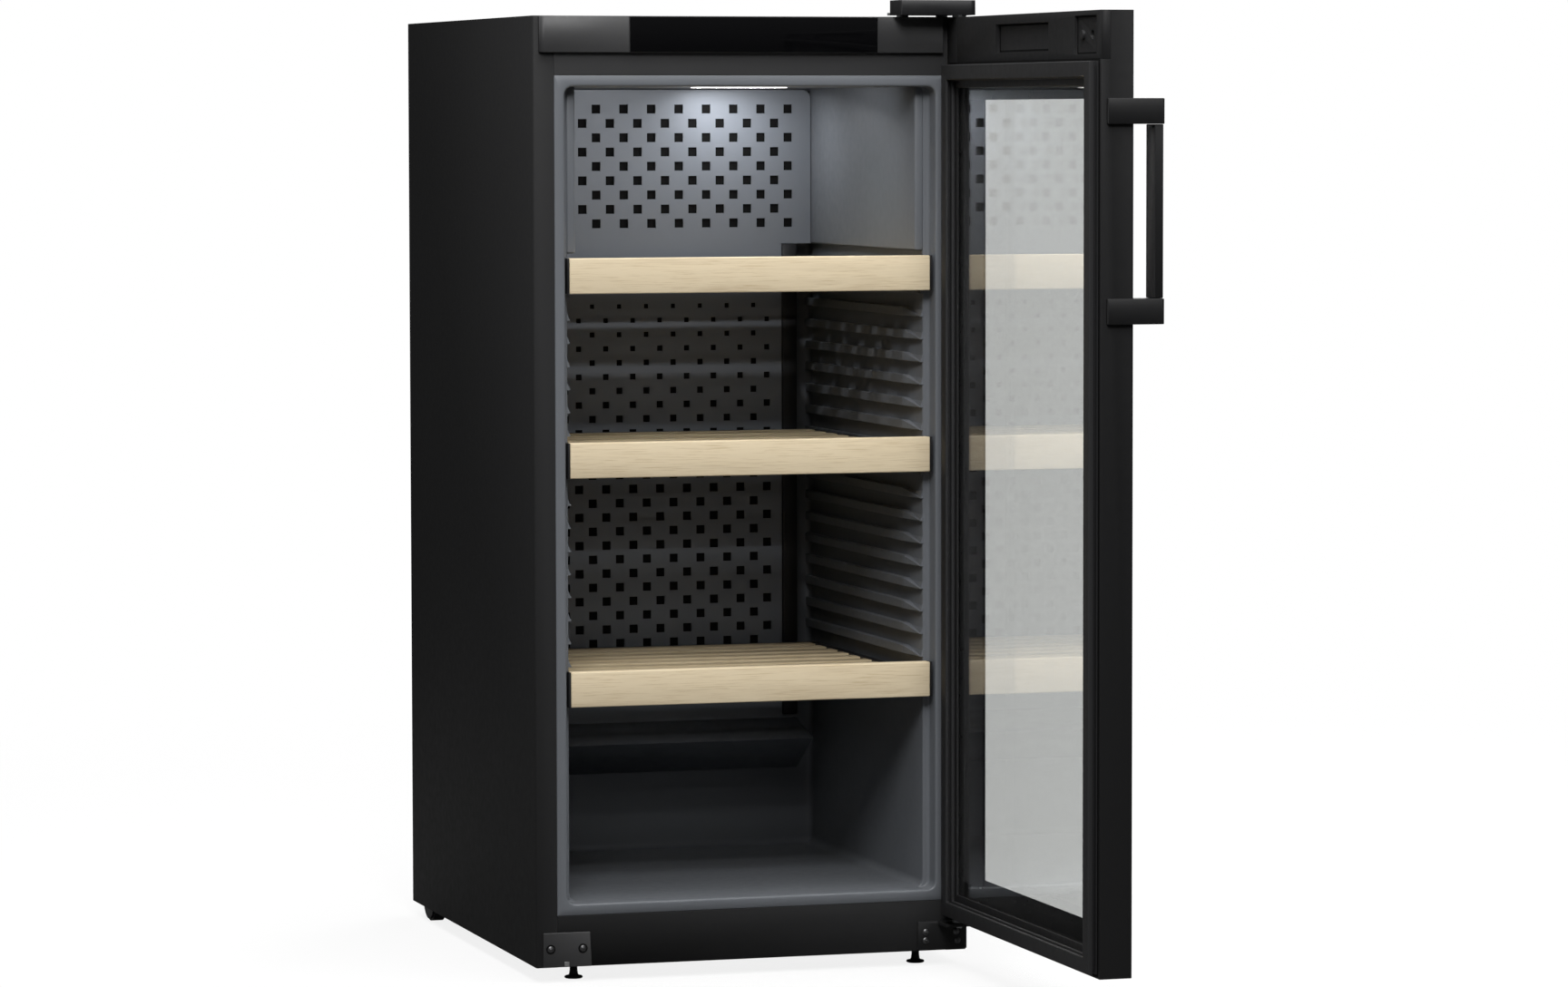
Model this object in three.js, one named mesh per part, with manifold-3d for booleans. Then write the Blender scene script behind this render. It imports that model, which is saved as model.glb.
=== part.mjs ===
// Freestanding wine cooler with a hinged glazed door, three pull-out shelves and its cooling parts.
// Units are millimetres, +Z is up. Inside the model the working frame is the case frame: the origin is
// the front left bottom corner of the case, X runs to the right, Y runs to the back. The exported group
// is shifted so that the origin is the centre of the overall footprint, on the floor.
import * as THREE from 'three';
import { mergeVertices } from 'three/addons/utils/BufferGeometryUtils.js';
import Module from 'manifold-3d';

const wasm = await Module();
wasm.setup();

// ---------------------------------------------------------------- driving dimensions

const gap = 0.3; // clearance between pieces that touch

// case
const width = 597;
const depth = 703;
const caseHeight = 1251.5;
const footHeight = 20; // case underside above the floor
const sheet = 1.5; // steel sheet
const cornerRadius = 2.5; // front vertical corners of the side panels
const stripWidth = 28.6; // front face of each side panel
const rearReturn = 22; // side panels folded in at the back
const plinthHeight = 68;
const plinthFold = 12; // edges of the plinth and the front rail, folded in
const bezelHeight = 48;
const baseThickness = 2;

// liner and compartments
const linerWall = 2.5;
const flangeWidth = 14.6; // flat front rim of the liner
const flangeRadius = 11; // inner corners of the rim
const mouthDepth = 26; // depth of the wide mouth behind the rim
const wallInset = 9.4; // side walls stand in from the rim
const upperInset = 11.4; // the walls of the top compartment stand in by this much more
const floorHeight = 83; // compartment floor
const ceilingDrop = 92.5; // compartment ceiling below the case top
const upperClear = 5.8; // top board to the thicker walls of the top compartment
const backWall = 532; // inner face of the back wall
const ribStart = 317; // lowest rib above the compartment floor
const ribPitch = 30.5;
const ribDepth = 9;
const ribHeight = 11;

// rear air duct
const panelFront = 492;
const panelSheet = 2;
const panelHalf = 190.5; // half width beside the ribs
const pilasterWidth = 23; // upright trim at each side of the panel
const panelLowerHalf = 211.5; // half width below the shelves
const panelFold = 268.6; // height of the fold above the air guide
const panelEnd = 197.2; // lower end of the panel
const guideReach = 82; // how far the guide's nose stands forward
const guideNose = 246.6; // height of the nose

// shelves
const shelfLevels = [0.2416, 0.5223, 0.7477]; // lower edges of the boards, as parts of the interior height
const boardHeight = 46.7;
const boardThick = 18;
const boardFront = 3;
const boardEndGap = 6.5; // each board end to the rim
const shelfBack = 478; // rear end of the shelves
const railHeight = 16;
const railBottom = 7; // above the board's lower edge
const railSheet = 1.5;
const runnerClear = 1; // between ribs and shelf runners
const runnerWidth = 12;
const slatCount = 9;
const slatWidth = 28;
const slatThick = 12;

// door, given in its closed place
const doorSideGap = 1; // door edges inside the case sides
const doorBottom = 45;
const doorTopGap = 1.1; // door top below the case top
const doorStandOff = 14.5; // inner face of the door to the case front
const doorThick = 43.6;
const doorEdgeRadius = 4;
const hingeInset = 17.25; // hinge line from the door's hinge edge
const hingeBehind = 10.75; // and from its inner face
const openAngle = Math.PI / 2; // rest pose of the door
const gasketTopInset = 62.4; // from the door's top edge
const gasketBottomInset = 5;
const gasketSideInset = 8; // from the free edge
const gasketHingeInset = 11; // from the hinge edge
const gasketWidth = 22;
const gasketClear = 1.3; // gasket face to the case front, door closed
const windowLand = 9; // inner frame shown between gasket and window
const revealDepth = 3.6; // inner glass below the inner face
const glassInner = 4;
const glassOuter = 5;
const glassOverlap = 6; // glass edges hidden in the frame
const innerSkin = 3;
const capDepth = 12;
const capEnd = 40; // cap's end to the door's hinge edge

// hinges
const pinRadius = 4;
const pinClear = 0.3;
const collarRadius = 9.5;

// handle
const handleDrop = 108.9; // handle top below the door top
const handleLength = 280;
const bracketHeight = 32;
const bracketWrap = 5.7; // bracket plate in front of the door's free end
const bracketReach = 38.5; // bracket outer face to the door's outer face
const bracketInboard = 29; // bracket on the door's outer face, from the free edge
const barDepth = 31;
const barThick = 11;

// feet and rollers
const footInsetX = 60;
const footInsetY = 36;
const footDiscRadius = 12.3;
const footStemRadius = 5.5;
const rollerRadius = 34;
const rollerWidth = 22;
const rollerBack = 71; // roller axle from the case back
const rollerInset = 5.5;
const axleRadius = 4;

// machine compartment at the lower back
const machineTop = 255;
const machineDepth = 143;

// ---------------------------------------------------------------- derived places

const centreX = width / 2;
const bezelBottom = caseHeight - bezelHeight;
const ceilingHeight = caseHeight - ceilingDrop;
const shelfHeights = shelfLevels.map((level) => floorHeight + level * (ceilingHeight - floorHeight));
const upperStart = Math.max(...shelfHeights) + boardHeight + upperClear;
const flangeLeft = stripWidth + gap;
const rimLeft = stripWidth + flangeWidth; // inner edge of the rim
const wallLeft = rimLeft + wallInset;
const upperLeft = wallLeft + upperInset;
const flangeBottom = floorHeight - flangeWidth;
const flangeTop = ceilingHeight + flangeWidth;
const caseBack = depth - 2 * sheet - gap; // front face of the rear panel
const machineFront = depth - machineDepth;
const rollerY = depth - rollerBack;
const rollerHeight = rollerRadius - footHeight; // axle above the case underside
const doorLeft = doorSideGap;
const doorRight = width - doorSideGap;
const doorTop = caseHeight - doorTopGap;
const doorInner = -doorStandOff;
const doorOuter = doorInner - doorThick;
const hingeX = doorRight - hingeInset;
const hingeY = doorInner - hingeBehind;
const gasketTop = doorTop - gasketTopInset;
const gasketBottom = doorBottom + gasketBottomInset;
const gasketThick = doorStandOff - gasketClear;
const capBottom = gasketTop + 2;
const capRight = doorRight - capEnd;
const handleTop = doorTop - handleDrop;
const handleBottom = handleTop - handleLength;
const windowLeft = doorLeft + gasketSideInset + gasketWidth + windowLand;
const windowRight = doorRight - gasketSideInset - gasketWidth - windowLand;
const windowBottom = gasketBottom + gasketWidth + windowLand;
const windowTop = gasketTop - gasketWidth - windowLand;
const bracketOuter = doorOuter - bracketReach;
const runnerLeft = wallLeft + ribDepth + runnerClear;

// ---------------------------------------------------------------- geometry helpers

function toSolid(geometry) {
  const bare = new THREE.BufferGeometry();
  bare.setAttribute('position', geometry.getAttribute('position'));
  if (geometry.index) bare.setIndex(geometry.index);
  const merged = mergeVertices(bare, 1e-4);
  return new wasm.Manifold(new wasm.Mesh({
    numProp: 3,
    vertProperties: new Float32Array(merged.getAttribute('position').array),
    triVerts: new Uint32Array(merged.index.array),
  }));
}

function toGeometry(solid) {
  const mesh = solid.getMesh();
  const geometry = new THREE.BufferGeometry();
  geometry.setAttribute('position', new THREE.BufferAttribute(new Float32Array(mesh.vertProperties), 3));
  geometry.setIndex(new THREE.BufferAttribute(new Uint32Array(mesh.triVerts), 1));
  return geometry;
}

function join(...geometries) {
  return toGeometry(geometries.map(toSolid).reduce((whole, part) => whole.add(part)));
}

function cut(geometry, ...tools) {
  return toGeometry(tools.map(toSolid).reduce((whole, tool) => whole.subtract(tool), toSolid(geometry)));
}

function box(x0, x1, y0, y1, z0, z1) {
  const geometry = new THREE.BoxGeometry(x1 - x0, y1 - y0, z1 - z0);
  return geometry.translate((x0 + x1) / 2, (y0 + y1) / 2, (z0 + z1) / 2);
}

function outline(points) {
  return new THREE.Shape(points.map(([a, b]) => new THREE.Vector2(a, b)));
}

function roundedRect(a0, a1, b0, b1, radius) {
  const shape = new THREE.Shape();
  shape.moveTo(a0 + radius, b0);
  shape.lineTo(a1 - radius, b0);
  shape.absarc(a1 - radius, b0 + radius, radius, -Math.PI / 2, 0);
  shape.lineTo(a1, b1 - radius);
  shape.absarc(a1 - radius, b1 - radius, radius, 0, Math.PI / 2);
  shape.lineTo(a0 + radius, b1);
  shape.absarc(a0 + radius, b1 - radius, radius, Math.PI / 2, Math.PI);
  shape.lineTo(a0, b0 + radius);
  shape.absarc(a0 + radius, b0 + radius, radius, Math.PI, 1.5 * Math.PI);
  return shape;
}

function extruded(shape, length, segments) {
  return new THREE.ExtrudeGeometry(shape, { depth: length, bevelEnabled: false, curveSegments: segments });
}

// an outline in X and Y, raised from z0 to z1
function raised(shape, z0, z1, segments = 6) {
  return extruded(shape, z1 - z0, segments).translate(0, 0, z0);
}

// an outline in X and Z, carried from y0 to y1
function carriedBack(shape, y0, y1, segments = 6) {
  return extruded(shape, y1 - y0, segments).rotateX(Math.PI / 2).translate(0, y1, 0);
}

// an outline in Y and Z, carried from x0 to x1
function carriedRight(shape, x0, x1, segments = 6) {
  const turn = new THREE.Matrix4().makeBasis(
    new THREE.Vector3(0, 1, 0), new THREE.Vector3(0, 0, 1), new THREE.Vector3(1, 0, 0));
  return extruded(shape, x1 - x0, segments).applyMatrix4(turn).translate(x0, 0, 0);
}

function cylinderX(radius, x0, x1, y, z, sides = 24) {
  return new THREE.CylinderGeometry(radius, radius, x1 - x0, sides)
    .rotateZ(Math.PI / 2).translate((x0 + x1) / 2, y, z);
}

function cylinderY(radius, y0, y1, x, z, sides = 24) {
  return new THREE.CylinderGeometry(radius, radius, y1 - y0, sides).translate(x, (y0 + y1) / 2, z);
}

function cylinderZ(radius, z0, z1, x, y, sides = 24) {
  return new THREE.CylinderGeometry(radius, radius, z1 - z0, sides)
    .rotateX(Math.PI / 2).translate(x, y, (z0 + z1) / 2);
}

// a profile of [radius, height] points turned about the vertical line through x, y
function turned(profile, x, y, sides = 20) {
  const points = profile.map(([r, z]) => new THREE.Vector2(r, z));
  return new THREE.LatheGeometry(points, sides).rotateX(Math.PI / 2).translate(x, y, 0);
}

// x measured from the left or, mirrored, from the right
const fromSide = (mirrored) => (x) => (mirrored ? width - x : x);

function sideBox(mirrored, x0, x1, y0, y1, z0, z1) {
  return mirrored ? box(width - x1, width - x0, y0, y1, z0, z1) : box(x0, x1, y0, y1, z0, z1);
}

// ---------------------------------------------------------------- materials

const finish = (color, roughness, metalness = 0) =>
  new THREE.MeshStandardMaterial({ color, roughness, metalness });

const paint = {
  blackSteel: finish(0x2b2c2d, 0.45, 0.3),
  darkPlastic: finish(0x38393a, 0.5),
  greyLiner: finish(0x5d6063, 0.5),
  greyPanel: finish(0x6a6c6f, 0.4, 0.4),
  blackGlass: finish(0x08080a, 0.06),
  paleWood: finish(0xd8c8a4, 0.6),
  blackPlastic: finish(0x161617, 0.55),
  zinc: finish(0xa2a4a6, 0.4, 0.8),
  foam: finish(0xd9cf9a, 0.9),
  rubber: finish(0x3a3a3a, 0.8),
  copper: finish(0xa5673f, 0.35, 0.9),
  board: finish(0x1f5b36, 0.6),
  lens: finish(0xf2f2ea, 0.2),
  glass: new THREE.MeshStandardMaterial({
    color: 0x9aa0a0, roughness: 0.05, metalness: 0, transparent: true, opacity: 0.35,
  }),
};

function add(parent, name, geometry, material) {
  const mesh = new THREE.Mesh(geometry, material);
  mesh.name = name;
  parent.add(mesh);
}

// ---------------------------------------------------------------- case

function sidePanel(mirrored) {
  const at = fromSide(mirrored);
  const arc = [0, 1, 2, 3, 4].map((step) => {
    const angle = Math.PI + (step * Math.PI) / 8;
    return [at(cornerRadius + cornerRadius * Math.cos(angle)), cornerRadius + cornerRadius * Math.sin(angle)];
  });
  const shape = outline([
    ...arc,
    [at(stripWidth), 0], [at(stripWidth), sheet], [at(sheet + cornerRadius), sheet],
    [at(sheet), sheet + cornerRadius], [at(sheet), depth - sheet],
    [at(rearReturn), depth - sheet], [at(rearReturn), depth], [at(0), depth],
  ]);
  return raised(shape, 0, caseHeight);
}

function topPanel() {
  return box(sheet + gap, width - sheet - gap, sheet + cornerRadius, depth - sheet - gap,
    caseHeight - sheet, caseHeight);
}

function rearPanel() {
  return box(sheet + gap, width - sheet - gap, caseBack, caseBack + sheet, machineTop, caseHeight - sheet - gap);
}

function basePan() {
  const top = gap + baseThickness;
  const plate = box(sheet + gap, width - sheet - gap, plinthFold + gap, depth - sheet - gap, gap, top);
  const wells = [false, true].map((mirrored) => sideBox(mirrored,
    0, rollerInset + rollerWidth + 6, rollerY - rollerRadius - 4, rollerY + rollerRadius + 4, -1, top + 1));
  const footHoles = [footInsetX, width - footInsetX].map((x) =>
    cylinderZ(footStemRadius + gap, -1, top + 1, x, footInsetY));
  const wallFront = machineFront + gap;
  const bulkhead = box(sheet + gap, width - sheet - gap, wallFront, wallFront + sheet, gap, machineTop - gap);
  const lid = box(sheet + gap, width - sheet - gap, wallFront, caseBack - gap,
    machineTop - gap - sheet, machineTop - gap);
  return join(cut(plate, ...wells, ...footHoles), bulkhead, lid);
}

function frontStrip(z0, z1) {
  const left = stripWidth + gap;
  const face = box(left, width - left, 0, sheet, z0, z1);
  const folds = [z0, z1 - sheet].map((z) => box(left, width - left, 0, plinthFold, z, z + sheet));
  return join(face, ...folds);
}

function insulation() {
  const clear = linerWall + gap;
  const block = box(sheet + gap, width - sheet - gap, sheet + cornerRadius, caseBack - gap,
    footHeight, caseHeight - sheet - gap);
  const mouth = box(rimLeft - clear, width - rimLeft + clear, -1, mouthDepth + clear,
    floorHeight - clear, ceilingHeight + clear);
  const hollow = box(wallLeft - clear, width - wallLeft + clear, 0, backWall + clear,
    floorHeight - clear, ceilingHeight + clear);
  const machine = box(0, width, machineFront, depth, 0, machineTop);
  const controls = box(stripWidth, width - stripWidth, 0, 60, flangeTop, caseHeight);
  const plinthSpace = box(0, width, 0, 14, 0, floorHeight);
  return cut(block, mouth, hollow, machine, controls, plinthSpace);
}

// ---------------------------------------------------------------- liner

function rib(mirrored, z) {
  const at = fromSide(mirrored);
  const taper = 60;
  const shape = outline([
    [at(wallLeft - 1), mouthDepth], [at(wallLeft), mouthDepth], [at(wallLeft + ribDepth), mouthDepth + taper],
    [at(wallLeft + ribDepth), backWall + 1], [at(wallLeft - 1), backWall + 1],
  ]);
  return raised(shape, z - ribHeight / 2, z + ribHeight / 2);
}

// a rib is left out where a shelf rail is fixed to the wall
function clearOfRails(z) {
  return shelfHeights.every((board) => {
    const middle = board + railBottom + railHeight / 2;
    return Math.abs(z - middle) > (railHeight + ribHeight) / 2 + gap;
  });
}

function innerLiner() {
  const top = ceilingHeight;
  const flange = box(flangeLeft, width - flangeLeft, 0, linerWall, flangeBottom, flangeTop);
  const mouthShell = box(rimLeft - linerWall, width - rimLeft + linerWall, 0, mouthDepth + linerWall,
    floorHeight - linerWall, top + linerWall);
  const tub = box(wallLeft - linerWall, width - wallLeft + linerWall, 1, backWall + linerWall,
    floorHeight - linerWall, top + linerWall);
  const mouth = carriedBack(roundedRect(rimLeft, width - rimLeft, floorHeight, top, flangeRadius),
    -1, mouthDepth, 5);
  const hollow = carriedBack(roundedRect(wallLeft, width - wallLeft, floorHeight, top, flangeRadius),
    mouthDepth - 1, backWall, 5);
  const upperWalls = [false, true].map((mirrored) =>
    sideBox(mirrored, wallLeft - 1, upperLeft, mouthDepth, backWall + 1, upperStart, top + 1));
  const pilasters = [false, true].map((mirrored) =>
    sideBox(mirrored, centreX - panelHalf - pilasterWidth, centreX - panelHalf - 1, panelFront - 1,
      backWall + 1, panelFold + 3, upperStart));
  const ribs = [];
  for (let z = floorHeight + ribStart; z < upperStart - ribPitch; z += ribPitch) {
    if (clearOfRails(z)) ribs.push(rib(false, z), rib(true, z));
  }
  const shell = cut(join(flange, mouthShell, tub), mouth, hollow);
  return join(shell, ...upperWalls, ...pilasters, ...ribs);
}

// ---------------------------------------------------------------- rear duct, light, cooling parts

function rearAirPanel() {
  const wide = centreX - upperLeft - gap;
  const shape = outline([
    [centreX - panelLowerHalf, panelEnd], [centreX + panelLowerHalf, panelEnd],
    [centreX + panelLowerHalf, panelFold], [centreX + panelHalf, panelFold],
    [centreX + panelHalf, upperStart + gap], [centreX + wide, upperStart + gap],
    [centreX + wide, ceilingHeight - 13], [centreX + wide - 12, ceilingHeight - 1],
    [centreX - wide + 12, ceilingHeight - 1], [centreX - wide, ceilingHeight - 13],
    [centreX - wide, upperStart + gap], [centreX - panelHalf, upperStart + gap],
    [centreX - panelHalf, panelFold], [centreX - panelLowerHalf, panelFold],
  ]);
  return carriedBack(shape, panelFront, panelFront + panelSheet);
}

function lowerAirGuide() {
  const back = panelFront - gap;
  const nose = back - guideReach;
  const shape = outline([
    [back, panelFold], [nose, guideNose], [back, panelEnd],
    [back, panelEnd + 2.3], [nose + 5.5, guideNose - 0.4], [back, panelFold - 2.1],
  ]);
  return carriedRight(shape, centreX - panelLowerHalf, centreX + panelLowerHalf);
}

const lightHalf = 63.5;
const lightFront = 48;

function lightLens() {
  const shape = roundedRect(centreX - lightHalf, centreX + lightHalf, lightFront, lightFront + 24, 6);
  return raised(shape, ceilingHeight - 3, ceilingHeight - gap, 4);
}

const ductFront = panelFront + panelSheet + 4;
const ductBack = backWall - 4;

function evaporator() {
  const left = 150;
  const right = width - 150;
  const top = ceilingHeight - 54;
  const core = box(left, right, ductFront + 8, ductBack - 8, top - 145, top - 5);
  const fins = [];
  for (let k = 0; k <= 10; k += 1) {
    const x = left + (k * (right - left - 2)) / 10;
    fins.push(box(x, x + 2, ductFront, ductBack, top - 150, top));
  }
  return join(core, ...fins);
}

const fanHeight = upperStart - 120;
const fanRadius = 55;

function fanHousing() {
  const block = box(centreX - 66, centreX + 66, ductFront, ductBack, fanHeight - 66, fanHeight + 66);
  const throat = cylinderY(fanRadius + 2, ductFront - 1, ductBack + 1, centreX, fanHeight, 32);
  const hub = cylinderY(14, ductBack - 8, ductBack, centreX, fanHeight, 16);
  const arms = [box(centreX - 60, centreX + 60, ductBack - 4, ductBack, fanHeight - 3, fanHeight + 3),
    box(centreX - 3, centreX + 3, ductBack - 4, ductBack, fanHeight - 60, fanHeight + 60)];
  const shaft = cylinderY(2.5, ductBack - 20, ductBack - 4, centreX, fanHeight, 12);
  return join(cut(block, throat), hub, ...arms, shaft);
}

function fanRotor() {
  const front = ductFront + 3;
  const back = ductBack - 8 - gap;
  const hub = cylinderY(16, front, back, centreX, fanHeight, 20);
  const blades = [];
  for (let k = 0; k < 7; k += 1) {
    const blade = new THREE.BoxGeometry(fanRadius - 12, 1.6, 22);
    blade.rotateX(0.6).translate((fanRadius + 12) / 2, 0, 0).rotateY((k * 2 * Math.PI) / 7);
    blades.push(blade.translate(centreX, (front + back) / 2, fanHeight));
  }
  const bore = cylinderY(2.5 + gap, ductBack - 21, back + 1, centreX, fanHeight, 12);
  return cut(join(hub, ...blades), bore);
}

const compressorX = width - 157;
const compressorY = machineFront + 70;

function compressor() {
  const feet = gap + baseThickness + gap;
  const body = turned([
    [0, feet + 12], [50, feet + 12], [62, feet + 24], [63, feet + 80], [63, feet + 98],
    [58, feet + 130], [40, feet + 150], [0, feet + 156],
  ], compressorX, compressorY);
  const plate = box(compressorX - 88, compressorX + 88, compressorY - 45, compressorY + 45, feet + 8, feet + 14);
  const posts = [-1, 1].flatMap((sx) => [-1, 1].map((sy) =>
    cylinderZ(9, feet, feet + 9, compressorX + sx * 74, compressorY + sy * 32, 12)));
  const relay = box(compressorX - 84, compressorX - 50, compressorY - 25, compressorY + 25, feet + 50, feet + 100);
  return join(body, plate, ...posts, relay);
}

function condenser() {
  const left = 60;
  const right = 250;
  const pitch = 26;
  const rows = 7;
  const bottom = 62;
  const y = machineFront + 80;
  const tube = 3.5;
  const parts = [];
  for (let row = 0; row < rows; row += 1) {
    const z = bottom + row * pitch;
    parts.push(cylinderX(tube, left, right, y, z, 8));
    if (row < rows - 1) parts.push(cylinderZ(tube, z, z + pitch, row % 2 === 0 ? right : left, y, 8));
  }
  for (let k = 0; k < 5; k += 1) {
    const x = left + 15 + k * 40;
    parts.push(box(x, x + 2.5, y + 2, y + 4.5, bottom - 6, bottom + (rows - 1) * pitch + 6));
  }
  return join(...parts);
}

function dripTray() {
  const z = 2 * gap + baseThickness;
  const outer = box(52, 270, machineFront + 20, depth - 13, z, z + 34);
  const inner = box(55, 267, machineFront + 23, depth - 16, z + 3, z + 40);
  return cut(outer, inner);
}

function powerInlet() {
  const x = width - 70;
  const z = machineTop - 60;
  const body = box(x - 26, x + 26, depth - 40, depth - 4, z - 20, z + 20);
  const socket = box(x - 14, x + 14, depth - 24, depth, z - 9, z + 9);
  const bracket = box(x - 26, x + 26, depth - 40, depth - 37, z, machineTop - 2 * gap - sheet);
  return join(cut(body, socket), bracket);
}

// ---------------------------------------------------------------- front top: controls

const bezelProud = 8;
const bezelLeft = 7.3;
const bezelShell = 2.5;
const touchLeft = 130;
const touchRight = width - 127;
const bezelRight = width - 35; // stops short of the door's swing

function controlBezel() {
  const shape = outline([
    [bezelLeft, -gap], [bezelRight, -gap], [bezelRight, -bezelProud], [bezelLeft + 7, -bezelProud],
    [bezelLeft + 3.5, -bezelProud + 0.9], [bezelLeft + 0.9, -bezelProud + 3.5],
  ]);
  const body = raised(shape, bezelBottom, caseHeight - gap);
  const hollow = box(bezelLeft + bezelShell + 4, bezelRight - bezelShell, -bezelProud + bezelShell, 1,
    bezelBottom + bezelShell, caseHeight - gap - bezelShell);
  const rebate = box(touchLeft - gap, touchRight + gap, -bezelProud - 1, -bezelProud + 1, bezelBottom - 1, caseHeight);
  return cut(body, hollow, rebate);
}

function controlGlass() {
  return box(touchLeft, touchRight, -bezelProud - 1, -bezelProud + 1 - gap, bezelBottom + gap, caseHeight - 2 * gap);
}

function controlBoard() {
  return box(touchLeft + 40, touchRight - 40, -bezelProud + bezelShell + gap, -bezelProud + bezelShell + 2,
    bezelBottom + 6, caseHeight - 8);
}

// ---------------------------------------------------------------- hinges and corner cover

const plateLevel = caseHeight + 2.5; // underside of the top hinge plate
const plateThick = 3.5;
const coverLeft = width - 107;
const coverRight = width;
const coverFront = hingeY - 19.75;
const coverTop = plateLevel + 19;

function topHingeBracket() {
  const plate = box(coverLeft + 14, coverRight - 5, hingeY - 12, 55, plateLevel, plateLevel + plateThick);
  const pads = [coverLeft + 30, coverRight - 22].map((x) =>
    cylinderZ(8, caseHeight + gap, plateLevel + 1, x, 38, 16));
  return cut(join(plate, ...pads), cylinderZ(pinRadius + pinClear, 0, 2 * caseHeight, hingeX, hingeY));
}

function topHingePin() {
  return join(cylinderZ(pinRadius, doorTop - 18, plateLevel + plateThick + 3, hingeX, hingeY),
    cylinderZ(collarRadius, doorTop + gap, plateLevel - gap, hingeX, hingeY));
}

function topHingeCover() {
  const round = 9;
  const shape = new THREE.Shape();
  shape.moveTo(coverLeft, 0);
  shape.lineTo(coverLeft, coverFront + 2);
  shape.lineTo(coverLeft + 2, coverFront);
  shape.lineTo(coverRight - round, coverFront);
  shape.absarc(coverRight - round, coverFront + round, round, -Math.PI / 2, 0);
  shape.lineTo(coverRight, 0);
  const inside = box(coverLeft + 2, coverRight - 4, coverFront + 3, 1, plateLevel - 2, coverTop - 2);
  return cut(raised(shape, plateLevel - gap - 0.2, coverTop), inside);
}

function bottomHingeBracket() {
  const armTop = doorBottom - 5;
  const face = box(width - 69, width, -3, -gap, 2, armTop);
  const arm = box(width - 41, width, hingeY - 14, -1, armTop - 4, armTop);
  return cut(join(face, arm), cylinderZ(pinRadius + pinClear, 0, doorBottom, hingeX, hingeY));
}

function bottomHingePin() {
  return join(cylinderZ(pinRadius, doorBottom - 12, doorBottom + 16, hingeX, hingeY),
    cylinderZ(collarRadius, doorBottom - 5 + gap, doorBottom - gap, hingeX, hingeY));
}

function cornerCover() {
  return carriedBack(outline([[9, 0.5], [75, 0.5], [73, 46.4], [9, 46.4]]), -3, -gap);
}

// ---------------------------------------------------------------- feet and rollers

function foot(x) {
  return turned([
    [0, -footHeight], [footDiscRadius, -footHeight], [footDiscRadius, -footHeight + 2],
    [footStemRadius + 2.5, -footHeight + 5], [footStemRadius, -footHeight + 9], [footStemRadius, 14], [0, 14],
  ], x, footInsetY, 16);
}

function rollerHousing(mirrored) {
  const inner = rollerInset - 1;
  const outer = rollerInset + rollerWidth + 1;
  const top = rollerHeight + rollerRadius + 4;
  const low = 2 * gap + baseThickness;
  const front = rollerY - rollerRadius - 2;
  const back = rollerY + rollerRadius + 2;
  const lid = sideBox(mirrored, inner - 2.5, outer + 2.5, front, back, top - 2, top);
  const cheeks = [sideBox(mirrored, inner - 2.5, inner, front, back, low, top),
    sideBox(mirrored, outer, outer + 2.5, front, back, low, top)];
  const at = fromSide(mirrored);
  const ends = [at(inner - 1), at(outer + 1)].sort((a, b) => a - b);
  const foots = sideBox(mirrored, outer, outer + 16, front, back, low, low + 2);
  return join(lid, ...cheeks, foots, cylinderX(axleRadius, ends[0], ends[1], rollerY, rollerHeight, 16));
}

function roller(mirrored) {
  const ends = [fromSide(mirrored)(rollerInset), fromSide(mirrored)(rollerInset + rollerWidth)].sort((a, b) => a - b);
  const chamfer = 3;
  const wheel = cylinderX(rollerRadius, ends[0] + chamfer, ends[1] - chamfer, rollerY, rollerHeight, 32);
  const flanks = cylinderX(rollerRadius - chamfer, ends[0], ends[1], rollerY, rollerHeight, 32);
  const bore = cylinderX(axleRadius + gap, ends[0] - 1, ends[1] + 1, rollerY, rollerHeight, 16);
  return cut(join(wheel, flanks), bore);
}

// ---------------------------------------------------------------- door

function doorFrame() {
  const edge = doorEdgeRadius;
  const back = doorInner - innerSkin - gap;
  const profile = new THREE.Shape();
  profile.moveTo(doorLeft, doorInner);
  profile.lineTo(doorLeft, doorOuter + edge);
  profile.absarc(doorLeft + edge, doorOuter + edge, edge, Math.PI, 1.5 * Math.PI);
  profile.lineTo(doorRight - edge, doorOuter);
  profile.absarc(doorRight - edge, doorOuter + edge, edge, -Math.PI / 2, 0);
  profile.lineTo(doorRight, doorInner);
  const slab = raised(profile, doorBottom, doorTop, 4);
  const lip = glassOverlap + gap;
  const glassPocket = box(windowLeft - lip, windowRight + lip, doorOuter - 1, doorInner + 1,
    windowBottom - lip, windowTop + lip);
  const skinPocket = box(doorLeft + gasketSideInset - gap, doorRight - gasketHingeInset + gap,
    back, doorInner + 1, gasketBottom - gap, gasketTop + gap);
  const capPocket = box(doorLeft - 1, capRight + gap, doorInner - capDepth - gap, doorInner + 1,
    capBottom - gap, doorTop + 1);
  const pinHoles = [cylinderZ(pinRadius + pinClear, doorBottom - 1, doorBottom + 18, hingeX, hingeY),
    cylinderZ(pinRadius + pinClear, doorTop - 20, doorTop + 1, hingeX, hingeY)];
  return cut(slab, glassPocket, skinPocket, capPocket, ...pinHoles);
}

function doorTopCap() {
  const face = doorInner;
  const body = box(doorLeft, capRight, face - capDepth, face, capBottom, doorTop);
  const middle = (capBottom + doorTop) / 2;
  const pocket = box(196, 400, face - 6, face + 1, middle - 18.5, middle + 18);
  const recess = box(19, 98, face - 4, face + 1, middle - 24, middle + 24);
  const boss = cylinderY(6.5, face - 5, face - 1, 76, middle, 16);
  const keyhole = cylinderY(6, face - 9, face + 1, 44, middle, 16);
  return cut(join(cut(body, pocket, recess), boss), keyhole);
}

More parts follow.
